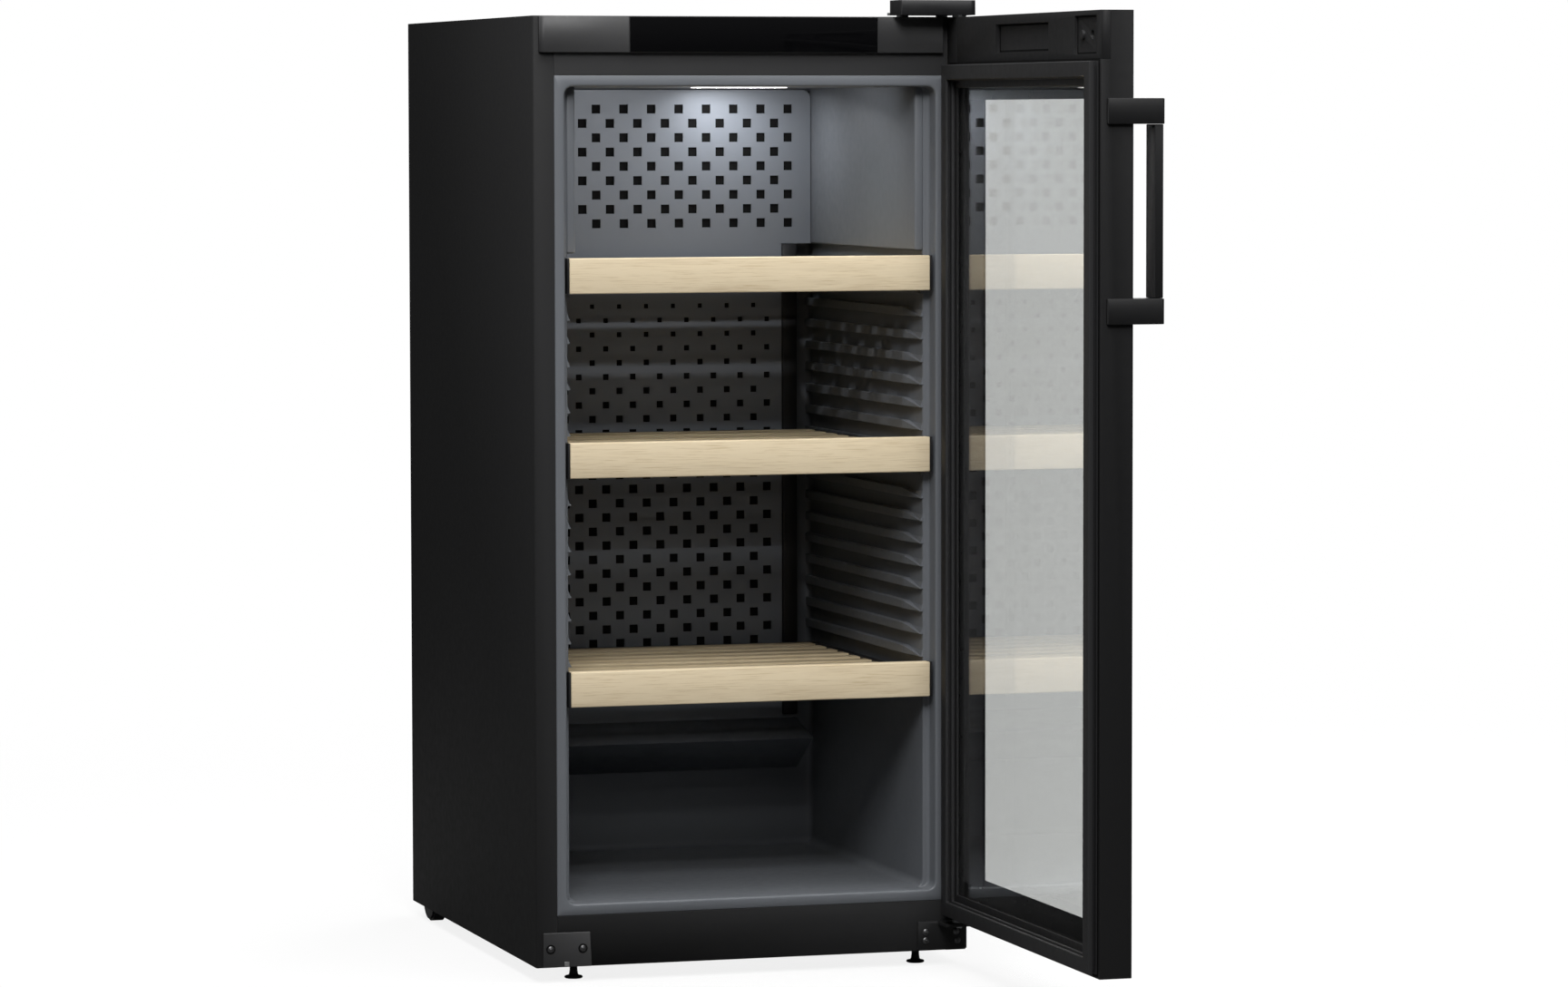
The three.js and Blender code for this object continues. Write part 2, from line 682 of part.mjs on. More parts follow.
function doorInnerFrame() {
  const front = doorInner - innerSkin;
  const plate = box(doorLeft + gasketSideInset, doorRight - gasketHingeInset, front, doorInner,
    gasketBottom, gasketTop);
  return cut(plate, box(windowLeft, windowRight, front - 1, doorInner + 1, windowBottom, windowTop));
}

function paneBox(y0, y1, inset = 0) {
  return box(windowLeft - glassOverlap + inset, windowRight + glassOverlap - inset, y0, y1,
    windowBottom - glassOverlap + inset, windowTop + glassOverlap - inset);
}

const innerPaneFace = doorInner - revealDepth;
const spacerWidth = 10;

function glassSpacer() {
  const y0 = doorOuter + glassOuter + gap;
  const y1 = innerPaneFace - glassInner - gap;
  return cut(paneBox(y0, y1, 1), paneBox(y0 - 1, y1 + 1, 1 + spacerWidth));
}

function doorGasket() {
  const left = doorLeft + gasketSideInset;
  const right = doorRight - gasketHingeInset;
  const y0 = doorInner + gap;
  const y1 = doorInner + gasketThick;
  return cut(box(left, right, y0, y1, gasketBottom, gasketTop),
    box(left + gasketWidth, windowRight + windowLand, y0 - 1, y1 + 1,
      gasketBottom + gasketWidth, gasketTop - gasketWidth));
}

function handleBracket(z0) {
  const left = doorLeft - gap - bracketWrap;
  const shape = outline([
    [left, doorInner - 7], [doorLeft - gap, doorInner - 7], [doorLeft - gap, doorOuter - gap],
    [doorLeft + bracketInboard, doorOuter - gap], [doorLeft + bracketInboard, bracketOuter],
    [left + 2, bracketOuter], [left, bracketOuter + 2],
  ]);
  return raised(shape, z0, z0 + bracketHeight);
}

function handleBar() {
  const left = doorLeft - gap - bracketWrap + 2;
  return box(left, left + barDepth, bracketOuter + 1.7, bracketOuter + 1.7 + barThick,
    handleBottom + bracketHeight + gap, handleTop - bracketHeight - gap);
}

// ---------------------------------------------------------------- shelves

const boardLeft = rimLeft + boardEndGap;
const earLeft = boardLeft - 3;
const barFront = boardFront + boardThick + gap;

function shelfBoard(z) {
  return box(boardLeft, width - boardLeft, boardFront, boardFront + boardThick, z, z + boardHeight);
}

function shelfCarrier(z) {
  const low = z + 4;
  const high = z + 34;
  const parts = [false, true].flatMap((mirrored) => [
    sideBox(mirrored, earLeft, boardLeft - gap, boardFront, barFront + 2, z, z + boardHeight),
    sideBox(mirrored, runnerLeft, runnerLeft + runnerWidth, barFront, shelfBack, low, high),
    sideBox(mirrored, wallLeft + 4, runnerLeft + 1, mouthDepth + 8, shelfBack,
      z + railBottom + 4, z + railBottom + railHeight - 4),
  ]);
  const front = box(earLeft, width - earLeft, barFront, barFront + 3, low, high);
  const back = box(runnerLeft, width - runnerLeft, shelfBack - 10, shelfBack, low, high);
  return join(front, back, ...parts);
}

function shelfBase(z) {
  const left = runnerLeft + runnerWidth + gap;
  const front = barFront + 3 + gap;
  const back = shelfBack - 10 - gap;
  const top = z + 34;
  const bearers = [false, true].map((mirrored) =>
    sideBox(mirrored, left + 6, left + 30, front, back, top - 2 * slatThick, top - slatThick));
  const pitch = (back - front - slatWidth) / (slatCount - 1);
  const slats = [];
  for (let k = 0; k < slatCount; k += 1) {
    const y = front + k * pitch;
    slats.push(box(left, width - left, y, y + slatWidth, top - slatThick - 0.5, top));
  }
  return join(...bearers, ...slats);
}

function shelfRail(mirrored, z) {
  const x0 = wallLeft + gap;
  const x1 = wallLeft + ribDepth;
  const low = z + railBottom;
  const high = low + railHeight;
  const web = sideBox(mirrored, x0, x0 + railSheet, mouthDepth + 4, shelfBack + 4, low, high);
  const lips = [sideBox(mirrored, x0, x1, mouthDepth + 4, shelfBack + 4, low, low + railSheet),
    sideBox(mirrored, x0, x1, mouthDepth + 4, shelfBack + 4, high - railSheet, high)];
  return join(web, ...lips);
}

// ---------------------------------------------------------------- assembly

const group = new THREE.Group();
const cabinet = new THREE.Group();
group.add(cabinet);

add(cabinet, 'side_panel_left', sidePanel(false), paint.blackSteel);
add(cabinet, 'side_panel_right', sidePanel(true), paint.blackSteel);
add(cabinet, 'top_panel', topPanel(), paint.blackSteel);
add(cabinet, 'rear_panel', rearPanel(), paint.zinc);
add(cabinet, 'base_pan', basePan(), paint.zinc);
add(cabinet, 'front_plinth', frontStrip(gap, plinthHeight), paint.blackSteel);
add(cabinet, 'front_rail', frontStrip(flangeTop + gap, caseHeight - sheet - gap), paint.darkPlastic);
add(cabinet, 'insulation_foam', insulation(), paint.foam);
add(cabinet, 'inner_liner', innerLiner(), paint.greyLiner);
add(cabinet, 'rear_air_panel', rearAirPanel(), paint.greyPanel);
add(cabinet, 'lower_air_guide', lowerAirGuide(), paint.greyPanel);
add(cabinet, 'light_lens', lightLens(), paint.lens);
add(cabinet, 'evaporator', evaporator(), paint.zinc);
add(cabinet, 'fan_housing', fanHousing(), paint.blackPlastic);
add(cabinet, 'fan_rotor', fanRotor(), paint.blackPlastic);
add(cabinet, 'compressor', compressor(), paint.blackSteel);
add(cabinet, 'condenser', condenser(), paint.blackSteel);
add(cabinet, 'drip_tray', dripTray(), paint.blackPlastic);
add(cabinet, 'power_inlet', powerInlet(), paint.blackPlastic);
add(cabinet, 'control_bezel', controlBezel(), paint.darkPlastic);
add(cabinet, 'control_glass', controlGlass(), paint.blackGlass);
add(cabinet, 'control_board', controlBoard(), paint.board);
add(cabinet, 'top_hinge_bracket', topHingeBracket(), paint.zinc);
add(cabinet, 'top_hinge_pin', topHingePin(), paint.zinc);
add(cabinet, 'top_hinge_cover', topHingeCover(), paint.blackPlastic);
add(cabinet, 'bottom_hinge_bracket', bottomHingeBracket(), paint.blackSteel);
add(cabinet, 'bottom_hinge_pin', bottomHingePin(), paint.zinc);
add(cabinet, 'corner_cover', cornerCover(), paint.darkPlastic);

for (const side of ['left', 'right']) {
  const mirrored = side === 'right';
  add(cabinet, `front_foot_${side}`, foot(mirrored ? width - footInsetX : footInsetX), paint.blackPlastic);
  add(cabinet, `roller_housing_${side}`, rollerHousing(mirrored), paint.zinc);
  add(cabinet, `rear_roller_${side}`, roller(mirrored), paint.blackPlastic);
}

shelfHeights.forEach((z, index) => {
  const shelf = `shelf_${index + 1}`;
  add(cabinet, `${shelf}_front_board`, shelfBoard(z), paint.paleWood);
  add(cabinet, `${shelf}_carrier`, shelfCarrier(z), paint.blackPlastic);
  add(cabinet, `${shelf}_slats`, shelfBase(z), paint.paleWood);
  add(cabinet, `${shelf}_rail_left`, shelfRail(false, z), paint.blackPlastic);
  add(cabinet, `${shelf}_rail_right`, shelfRail(true, z), paint.blackPlastic);
});

// the door is drawn closed, then turned open about its hinge line
const doorTurn = new THREE.Group();
doorTurn.position.set(hingeX, hingeY, 0);
doorTurn.rotation.z = openAngle;
const door = new THREE.Group();
door.position.set(-hingeX, -hingeY, 0);
doorTurn.add(door);
cabinet.add(doorTurn);

add(door, 'door_frame', doorFrame(), paint.blackSteel);
add(door, 'door_top_cap', doorTopCap(), paint.darkPlastic);
add(door, 'door_inner_frame', doorInnerFrame(), paint.darkPlastic);
add(door, 'door_outer_glass', paneBox(doorOuter, doorOuter + glassOuter), paint.glass);
add(door, 'door_inner_glass', paneBox(innerPaneFace - glassInner, innerPaneFace), paint.glass);
add(door, 'door_glass_spacer', glassSpacer(), paint.blackPlastic);
add(door, 'door_gasket', doorGasket(), paint.rubber);
add(door, 'handle_bracket_lower', handleBracket(handleBottom), paint.blackSteel);
add(door, 'handle_bracket_upper', handleBracket(handleTop - bracketHeight), paint.blackSteel);
add(door, 'handle_bar', handleBar(), paint.blackSteel);

// centre of the footprint with the door open, on the floor
const spanLeft = 0;
const spanRight = hingeX - (bracketOuter - hingeY);
const spanFront = hingeY + (doorLeft - gap - bracketWrap - hingeX);
const spanBack = depth;
cabinet.position.set(-(spanLeft + spanRight) / 2, -(spanFront + spanBack) / 2, footHeight);

export default group;
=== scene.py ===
"""Looks for the wine cooler: its camera, light, detailed pieces and procedural materials."""

import math

import bmesh
import bpy
from mathutils import Euler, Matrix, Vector


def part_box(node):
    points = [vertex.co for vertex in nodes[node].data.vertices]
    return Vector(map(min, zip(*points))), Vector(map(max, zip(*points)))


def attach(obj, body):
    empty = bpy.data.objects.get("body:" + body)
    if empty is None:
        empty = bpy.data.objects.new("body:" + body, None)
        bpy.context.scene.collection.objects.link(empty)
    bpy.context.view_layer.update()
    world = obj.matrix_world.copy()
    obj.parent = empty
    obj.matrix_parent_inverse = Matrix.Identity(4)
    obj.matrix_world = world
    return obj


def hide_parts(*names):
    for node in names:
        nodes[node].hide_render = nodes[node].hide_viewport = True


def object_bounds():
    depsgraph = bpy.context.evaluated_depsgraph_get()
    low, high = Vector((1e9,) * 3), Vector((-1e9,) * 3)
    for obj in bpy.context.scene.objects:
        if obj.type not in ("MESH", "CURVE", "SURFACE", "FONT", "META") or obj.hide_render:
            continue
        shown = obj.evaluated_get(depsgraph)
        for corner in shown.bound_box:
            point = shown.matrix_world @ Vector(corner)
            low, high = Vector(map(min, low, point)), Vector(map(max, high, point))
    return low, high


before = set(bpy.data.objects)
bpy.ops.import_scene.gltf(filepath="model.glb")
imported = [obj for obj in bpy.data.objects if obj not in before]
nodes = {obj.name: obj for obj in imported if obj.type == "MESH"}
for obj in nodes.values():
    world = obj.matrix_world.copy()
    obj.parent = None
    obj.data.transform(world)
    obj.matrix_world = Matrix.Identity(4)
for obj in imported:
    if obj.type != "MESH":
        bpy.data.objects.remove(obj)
cad_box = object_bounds()
scene = bpy.context.scene

MM = 0.001
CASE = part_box("side_panel_left")[0]  # front left bottom corner of the case
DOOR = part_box("door_frame")[0]  # lower corner of the open door, at its free edge and inner face


def at(x, y, z):
    """A point in millimetres from the case's front left bottom corner, as metres in the row frame."""
    return Vector((CASE.x + x * MM, CASE.y + y * MM, CASE.z + z * MM))


def on_door(u, d, z):
    """A point on the open door: u from its free edge, d outwards from its inner face, z as in at()."""
    return Vector((DOOR.x + d * MM, DOOR.y + u * MM, CASE.z + z * MM))


# ------------------------------------------------------------------ camera

LENS = 133.59
CAMERA_AT = (-2.23284, -7.41759, 1.13836)
CAMERA_TURN = (86.3004, 0.0944, -16.9795)

camera = bpy.data.objects.new("camera", bpy.data.cameras.new("camera"))
camera.location = CAMERA_AT
camera.rotation_euler = Euler([math.radians(a) for a in CAMERA_TURN])
camera.data.lens = LENS
camera.data.sensor_width = 36
camera.data.clip_end = 60
scene.collection.objects.link(camera)
scene.camera = camera


# ------------------------------------------------------------------ materials


class Nodes:
    """A short way to write a material's node tree."""

    def __init__(self, name):
        self.material = bpy.data.materials.new(name)
        self.material.use_nodes = True
        self.tree = self.material.node_tree
        self.shader = self.tree.nodes["Principled BSDF"]
        self.place = self.tree.nodes.new("ShaderNodeTexCoord").outputs["Object"]

    def add(self, kind, **settings):
        node = self.tree.nodes.new("ShaderNode" + kind)
        for key, value in settings.items():
            setattr(node, key, value)
        return node

    def link(self, source, target):
        self.tree.links.new(source, target)

    def stretched(self, scale):
        mapping = self.add("Mapping")
        mapping.inputs["Scale"].default_value = scale
        self.link(self.place, mapping.inputs["Vector"])
        return mapping.outputs["Vector"]

    def noise(self, scale, detail=3.0, distortion=0.0, stretch=None, rough=0.5):
        node = self.add("TexNoise")
        node.inputs["Scale"].default_value = scale
        node.inputs["Detail"].default_value = detail
        node.inputs["Roughness"].default_value = rough
        node.inputs["Distortion"].default_value = distortion
        self.link(self.stretched(stretch) if stretch else self.place, node.inputs["Vector"])
        return node.outputs["Fac"]

    def ramp(self, value, *stops):
        node = self.add("ValToRGB")
        ramp = node.color_ramp
        while len(ramp.elements) < len(stops):
            ramp.elements.new(0.5)
        for element, (position, color) in zip(ramp.elements, stops):
            element.position = position
            element.color = (*color, 1) if len(color) == 3 else color
        self.link(value, node.inputs["Fac"])
        return node.outputs["Color"]

    def spread(self, value, low, high):
        node = self.add("MapRange")
        node.inputs["From Min"].default_value = 0.3
        node.inputs["From Max"].default_value = 0.7
        node.inputs["To Min"].default_value = low
        node.inputs["To Max"].default_value = high
        self.link(value, node.inputs["Value"])
        return node.outputs["Result"]

    def bump(self, value, strength, distance):
        node = self.add("Bump")
        node.inputs["Strength"].default_value = strength
        node.inputs["Distance"].default_value = distance
        self.link(value, node.inputs["Height"])
        self.link(node.outputs["Normal"], self.shader.inputs["Normal"])

    def set(self, **values):
        for key, value in values.items():
            self.shader.inputs[key.replace("_", " ")].default_value = value


def shades(color, amount):
    return [tuple(c * (1 + s * amount) for c in color) for s in (-1, 1)]


def coated(name, color, roughness, grain=1100, depth=0.25, metallic=0.0, vary=0.03, specular=0.4):
    """Coated sheet, moulded plastic or rubber: a fine grain with slight colour and gloss variation."""
    n = Nodes(name)
    low, high = shades(color, vary)
    n.link(n.ramp(n.noise(2.5, 3), (0.3, low), (0.7, high)), n.shader.inputs["Base Color"])
    n.link(n.spread(n.noise(90, 3), roughness - 0.03, roughness + 0.03), n.shader.inputs["Roughness"])
    n.bump(n.noise(grain, 2), depth, 0.0002)
    n.set(Metallic=metallic, Specular_IOR_Level=specular)
    return n.material


def metal(name, color, roughness, stretch):
    """Drawn or plated metal with a fine directional brushing."""
    n = Nodes(name)
    low, high = shades(color, 0.05)
    brushed = n.noise(6, 5, stretch=stretch)
    n.link(n.ramp(brushed, (0.3, low), (0.7, high)), n.shader.inputs["Base Color"])
    n.link(n.spread(brushed, roughness - 0.03, roughness + 0.03), n.shader.inputs["Roughness"])
    n.bump(n.noise(900, 2), 0.08, 0.0002)
    n.set(Metallic=1.0)
    return n.material


def wood(name, pale, dark):
    """Pale close-grained wood with its grain along X."""
    n = Nodes(name)
    broad = n.noise(4.0, 5, 0.9, (0.8, 10, 10), 0.6)
    base = n.ramp(broad, (0.25, dark), (0.5, pale), (0.75, tuple(c * 1.04 for c in pale)))
    pores = n.noise(70, 3, 0.2, (0.3, 10, 10), 0.6)
    streaks = n.ramp(pores, (0.34, (0.84, 0.80, 0.74)), (0.48, (1, 1, 1)))
    mix = n.add("Mix", data_type="RGBA", blend_type="MULTIPLY")
    mix.inputs["Factor"].default_value = 1.0
    n.link(base, mix.inputs["A"])
    n.link(streaks, mix.inputs["B"])
    n.link(mix.outputs["Result"], n.shader.inputs["Base Color"])
    n.link(n.spread(pores, 0.62, 0.52), n.shader.inputs["Roughness"])
    n.bump(pores, 0.12, 0.0003)
    n.set(Specular_IOR_Level=0.3)
    return n.material


def clear(name, tint):
    """Pane glass that lets lamps through, with faint streaks in its gloss."""
    n = Nodes(name)
    n.set(Base_Color=(*tint, 1), Transmission_Weight=1.0, IOR=1.45)
    n.link(n.spread(n.noise(2.5, 2), 0.0, 0.012), n.shader.inputs["Roughness"])
    through = n.add("BsdfTransparent")
    through.inputs["Color"].default_value = (0.9, 0.9, 0.9, 1)
    lamp = n.add("LightPath").outputs["Is Shadow Ray"]
    mix = n.add("MixShader")
    n.link(lamp, mix.inputs["Fac"])
    n.link(n.shader.outputs["BSDF"], mix.inputs[1])
    n.link(through.outputs["BSDF"], mix.inputs[2])
    n.link(mix.outputs["Shader"], n.tree.nodes["Material Output"].inputs["Surface"])
    return n.material


def glowing(name, color, strength):
    n = Nodes(name)
    low, high = shades(color, 0.03)
    n.link(n.ramp(n.noise(400, 2), (0.3, low), (0.7, high)), n.shader.inputs["Base Color"])
    n.set(Roughness=0.25, Emission_Color=(*color, 1), Emission_Strength=strength)
    n.bump(n.noise(900, 1), 0.1, 0.0002)
    return n.material


STEEL = coated("black_powder_coat", (0.021, 0.021, 0.0215), 0.55, 1300, 0.3, specular=0.1)
BEZEL = coated("bezel_plastic", (0.034, 0.034, 0.035), 0.45, 1500, 0.15)
DOOR_COAT = coated("door_coat", (0.012, 0.012, 0.0125), 0.5, 1400, 0.25, specular=0.25)
DOOR_PLASTIC = coated("door_plastic", (0.013, 0.013, 0.0135), 0.5, 1500, 0.2, specular=0.3)
LINER = coated("liner_plastic", (0.130, 0.139, 0.153), 0.42, 700, 0.12, vary=0.03)
PANEL = coated("air_panel_coat", (0.168, 0.182, 0.205), 0.5, 1100, 0.12, 0.15, 0.03)
GUIDE = coated("air_guide_coat", (0.13, 0.14, 0.155), 0.36, 1100, 0.12, 0.15, 0.03)
BLACK = coated("black_plastic", (0.010, 0.010, 0.011), 0.45, 1200, 0.2)
RUBBER = coated("seal_rubber", (0.017, 0.017, 0.018), 0.62, 900, 0.2, specular=0.3)
PRINT = coated("glass_print", (0.003, 0.003, 0.003), 0.3, 2500, 0.03, specular=0.2)
# painted shade: a near-black coat laid flat where grooves, recesses and the duct behind the air panel's
# holes fall into shade
SHADOW = coated("painted_shade_black", (0.004, 0.004, 0.004), 0.8, 900, 0.2, specular=0.1)
GLOSS = coated("touch_glass", (0.0022, 0.0022, 0.0026), 0.07, 60, 0.01, specular=0.5)
ZINC = metal("zinc_plate", (0.46, 0.47, 0.48), 0.48, (3, 3, 9))
FINS = metal("aluminium_fins", (0.62, 0.63, 0.64), 0.38, (1, 1, 30))
COPPER = metal("copper_tube", (0.62, 0.27, 0.14), 0.3, (8, 8, 8))
SCREW = metal("dark_screw", (0.13, 0.13, 0.133), 0.4, (9, 9, 9))
BRIGHT = metal("bright_clip", (0.55, 0.55, 0.55), 0.35, (9, 9, 9))
FOAM = coated("foam", (0.60, 0.52, 0.25), 0.85, 300, 0.8)
BOARD = coated("circuit_board", (0.014, 0.10, 0.035), 0.4, 500, 0.3)
BEECH = wood("beech", (0.69, 0.58, 0.405), (0.57, 0.46, 0.305))
SLAT = wood("beech_slats", (0.60, 0.49, 0.32), (0.48, 0.37, 0.23))
PANE = clear("pane_glass", (0.93, 0.94, 0.93))
LENS_GLOW = glowing("light_lens", (1.0, 0.99, 0.97), 1.6)


# ------------------------------------------------------------------ geometry helpers


def piece(name, mesh, material, body, replaced=(), slot=None):
    obj = bpy.data.objects.new(name, mesh)
    mesh.materials.append(material)
    scene.collection.objects.link(obj)
    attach(obj, body)
    if replaced:
        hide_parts(*replaced)
    return obj


def soften(obj, width, segments=2, angle=35):
    """Rounds an object's sharp edges with a bevel of that width in millimetres and shades it smooth."""
    for polygon in obj.data.polygons:
        polygon.use_smooth = True
    weld = obj.modifiers.new("weld", "WELD")
    weld.merge_threshold = 2e-6
    bevel = obj.modifiers.new("bevel", "BEVEL")
    bevel.width = width * MM
    bevel.segments = segments
    bevel.limit_method = "ANGLE"
    bevel.angle_limit = math.radians(angle)
    bevel.harden_normals = True
    bevel.use_clamp_overlap = True
    return obj


def finish_mesh(bm, name, smooth=False):
    bmesh.ops.recalc_face_normals(bm, faces=bm.faces)
    mesh = bpy.data.meshes.new(name)
    for face in bm.faces:
        face.smooth = smooth
    bm.to_mesh(mesh)
    bm.free()
    return mesh


def add_box(bm, low, high, radius=0.0, segments=2):
    """Adds a box between two corners to bm, its edges rounded by radius in millimetres."""
    made = bmesh.ops.create_cube(bm, size=1.0)
    verts = made["verts"]
    middle, size = (low + high) / 2, high - low
    for v in verts:
        v.co = Vector((v.co.x * size.x, v.co.y * size.y, v.co.z * size.z)) + middle
    if radius:
        edges = list({e for v in verts for e in v.link_edges})
        bmesh.ops.bevel(bm, geom=edges, offset=radius * MM, segments=segments, profile=0.5,
                        affect="EDGES", clamp_overlap=True)


def box_piece(name, low, high, radius, material, body, **how):
    bm = bmesh.new()
    add_box(bm, low, high, radius, 3)
    return piece(name, finish_mesh(bm, name, True), material, body, **how)


def bridge(bm, rings, closed=False):
    """Joins loops of points, each with the same count, by quads."""
    loops = [[bm.verts.new(p) for p in ring] for ring in rings]
    pairs = list(zip(loops, loops[1:] + loops[:1])) if closed else list(zip(loops, loops[1:]))
    for a, b in pairs:
        for i in range(len(a)):
            j = (i + 1) % len(a)
            bm.faces.new((a[i], a[j], b[j], b[i]))
    return loops


def square_to(axis):
    """The axis at unit length, and two directions square to it and to each other."""
    axis = Vector(axis).normalized()
    side = axis.orthogonal().normalized()
    return axis, side, axis.cross(side)


def capped(bm, rings):
    """Joins loops of points by quads and closes both ends."""
    loops = bridge(bm, rings)
    bm.faces.new(loops[0])
    bm.faces.new(loops[-1])


def add_turned(bm, profile, centre, axis, steps):
    """Adds a turned solid: profile is [(radius, along), ...] in millimetres from centre along axis."""
    axis, side, other = square_to(axis)
    turns = [2 * math.pi * k / steps for k in range(steps)]
    rings = []
    for r, a in profile:
        middle = centre + axis * a * MM
        rings.append([middle + (side * math.cos(t) + other * math.sin(t)) * r * MM for t in turns])
    capped(bm, rings)


def turned(name, profile, centre, axis, material, body, steps=40, **how):
    """A piece turned about a line, with its profile given as in add_turned()."""
    bm = bmesh.new()
    add_turned(bm, [(max(r, 0.02), a) for r, a in profile], centre, axis, steps)
    return soften(piece(name, finish_mesh(bm, name, True), material, body, **how), 0.15, 1, 40)


def tube(name, points, radius, material, body):
    """A round tube through points of the row frame, its radius in millimetres."""
    curve = bpy.data.curves.new(name, "CURVE")
    curve.dimensions = "3D"
    curve.bevel_depth = radius * MM
    curve.bevel_resolution = 4
    curve.use_fill_caps = True
    spline = curve.splines.new("BEZIER")
    spline.bezier_points.add(len(points) - 1)
    for point, place in zip(spline.bezier_points, points):
        point.co = place
        point.handle_left_type = point.handle_right_type = "AUTO"
    obj = bpy.data.objects.new(name, curve)
    curve.materials.append(material)
    scene.collection.objects.link(obj)
    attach(obj, body)
    return obj


def rounded_loop(x0, x1, z0, z1, y, radius, arc=6):
    """Points round a rectangle with rounded corners, in the plane y of the case."""
    points = []
    for cx, cz, start in ((x1 - radius, z0 + radius, -90), (x1 - radius, z1 - radius, 0),
                          (x0 + radius, z1 - radius, 90), (x0 + radius, z0 + radius, 180)):
        for k in range(arc + 1):
            a = math.radians(start + 90 * k / arc)
            points.append(at(cx + radius * math.cos(a), y, cz + radius * math.sin(a)))
    return points


# ------------------------------------------------------------------ liner and air panel

# rectangles are left, right, bottom and top; all in millimetres in the case's frame
FLANGE = (28.9, 568.1, 68.4, 1173.6)  # outer edge of the liner's flat rim
RIM = (43.2, 553.8, 83.0, 1159.0)  # opening of the rim
WALL = (52.6, 544.4)  # the side walls
UPPER = (64.0, 533.0)  # the thicker side walls of the top compartment
MOUTH = 26.0  # depth at which the walls step back
BACK = 531.0
UPPER_FROM = 940.2  # underside of the thicker walls
RIM_RADIUS = 11.0
TRIMS = ((85.4, 107.0), (490.0, 511.6))  # upright trims beside the air panel
TRIM_FRONT, TRIM_FROM = 491.2, 273
SHELF_RAILS = (358.0, 660.0, 902.5)  # heights of the shelves' rails
RIB_REACH, RIB_HALF, RIB_PITCH = 9.0, 5.6, 30.5
RIBS_FROM, RIBS_TO = 400.0, 909.5
RIB_TO_RAIL = 13.8  # least distance between the middles of a rib and a rail


def liner():
    """The inner liner: a flat rim, a rounded lip, a shallow mouth and walls with rounded corners."""
    bm = bmesh.new()
    x0, x1, z0, z1 = RIM
    rings = [
        rounded_loop(*FLANGE, 2.4, 0.6),
        rounded_loop(*FLANGE, 0.3, 0.6),
        rounded_loop(FLANGE[0] + 0.3, FLANGE[1] - 0.3, FLANGE[2] + 0.3, FLANGE[3] - 0.3, 0.0, 0.6),
    ]
    lip = 3.2
    for k in range(6):
        a = math.radians(90 * k / 5)
        grow = lip * (1 - math.sin(a))
        rings.append(rounded_loop(x0 - grow, x1 + grow, z0 - grow, z1 + grow, lip * (1 - math.cos(a)),
                                  RIM_RADIUS + grow))
    step = 4.0
    inset = WALL[0] - x0
    turn = 2.5
    rings.append(rounded_loop(x0, x1, z0, z1, MOUTH - step, RIM_RADIUS))
    for k in range(1, 5):
        a = math.radians(90 * k / 4)
        go = step * (1 - math.cos(a))
        deep = MOUTH - step + step * math.sin(a)
        rings.append(rounded_loop(x0 + go, x1 - go, z0, z1, deep, RIM_RADIUS))
    for k in range(5):
        a = math.radians(90 * k / 4)
        go = inset - turn * (1 - math.sin(a))
        deep = MOUTH + turn * (1 - math.cos(a))
        rings.append(rounded_loop(x0 + go, x1 - go, z0, z1, deep, RIM_RADIUS))
    corner = 9.0
    for k in range(5):
        a = math.radians(90 * k / 4)
        go = corner * (1 - math.cos(a))
        rings.append(rounded_loop(WALL[0] + go, WALL[1] - go, z0 + go, z1 - go,
                                  BACK - corner + corner * math.sin(a), RIM_RADIUS))
    loops = bridge(bm, rings)
    bm.faces.new(loops[-1])
    return piece("inner_liner_shell", finish_mesh(bm, "inner_liner_shell", True), LINER, "cabinet",
                 ("inner_liner",), "grey_liner")


def liner_blocks():
    """The thicker walls of the top compartment."""
    bm = bmesh.new()
    for a, b in ((WALL[0] - 1, UPPER[0]), (UPPER[1], WALL[1] + 1)):
        add_box(bm, at(a, MOUTH, UPPER_FROM), at(b, BACK - 0.5, RIM[3] + 1), 3.0, 3)
    return piece("upper_wall_panels", finish_mesh(bm, "upper_wall_panels", True), LINER, "cabinet",
                 slot="grey_liner")


def pilasters():
    """The upright trims beside the air panel."""
    bm = bmesh.new()
    for a, b in TRIMS:
        add_box(bm, at(a, TRIM_FRONT, TRIM_FROM), at(b, BACK - 0.5, UPPER_FROM - 0.4), 1.5, 2)
    return piece("duct_side_trims", finish_mesh(bm, "duct_side_trims", True), BLACK, "cabinet",
                 slot="black_plastic")


def ribs():
    """Moulded ribs along both side walls, each sloping out towards the mouth at its front end."""
    bm = bmesh.new()
    reach, half = RIB_REACH, RIB_HALF
    z = RIBS_FROM
    while z < RIBS_TO:
        if all(abs(z - rail) > RIB_TO_RAIL for rail in SHELF_RAILS):
            for wall, sign in ((WALL[0], 1), (WALL[1], -1)):
                rings = []
                for y, out, edge in ((MOUTH + 0.5, 4.0, -half + 0.6), (MOUTH + 58, reach, half - 0.4),
                                     (BACK - 2, reach, half - 0.4)):
                    section = [(-0.8, -half), (out - 0.6, -half), (out, -half + 0.6),
                               (out, edge + 0.1), (out - 0.8, edge + 0.5), (-0.8, half)]
                    rings.append([at(wall + sign * dx, y, z + dz) for dx, dz in section])
                capped(bm, rings)
        z += RIB_PITCH
    return piece("wall_ribs", finish_mesh(bm, "wall_ribs"), LINER, "cabinet", slot="grey_liner")


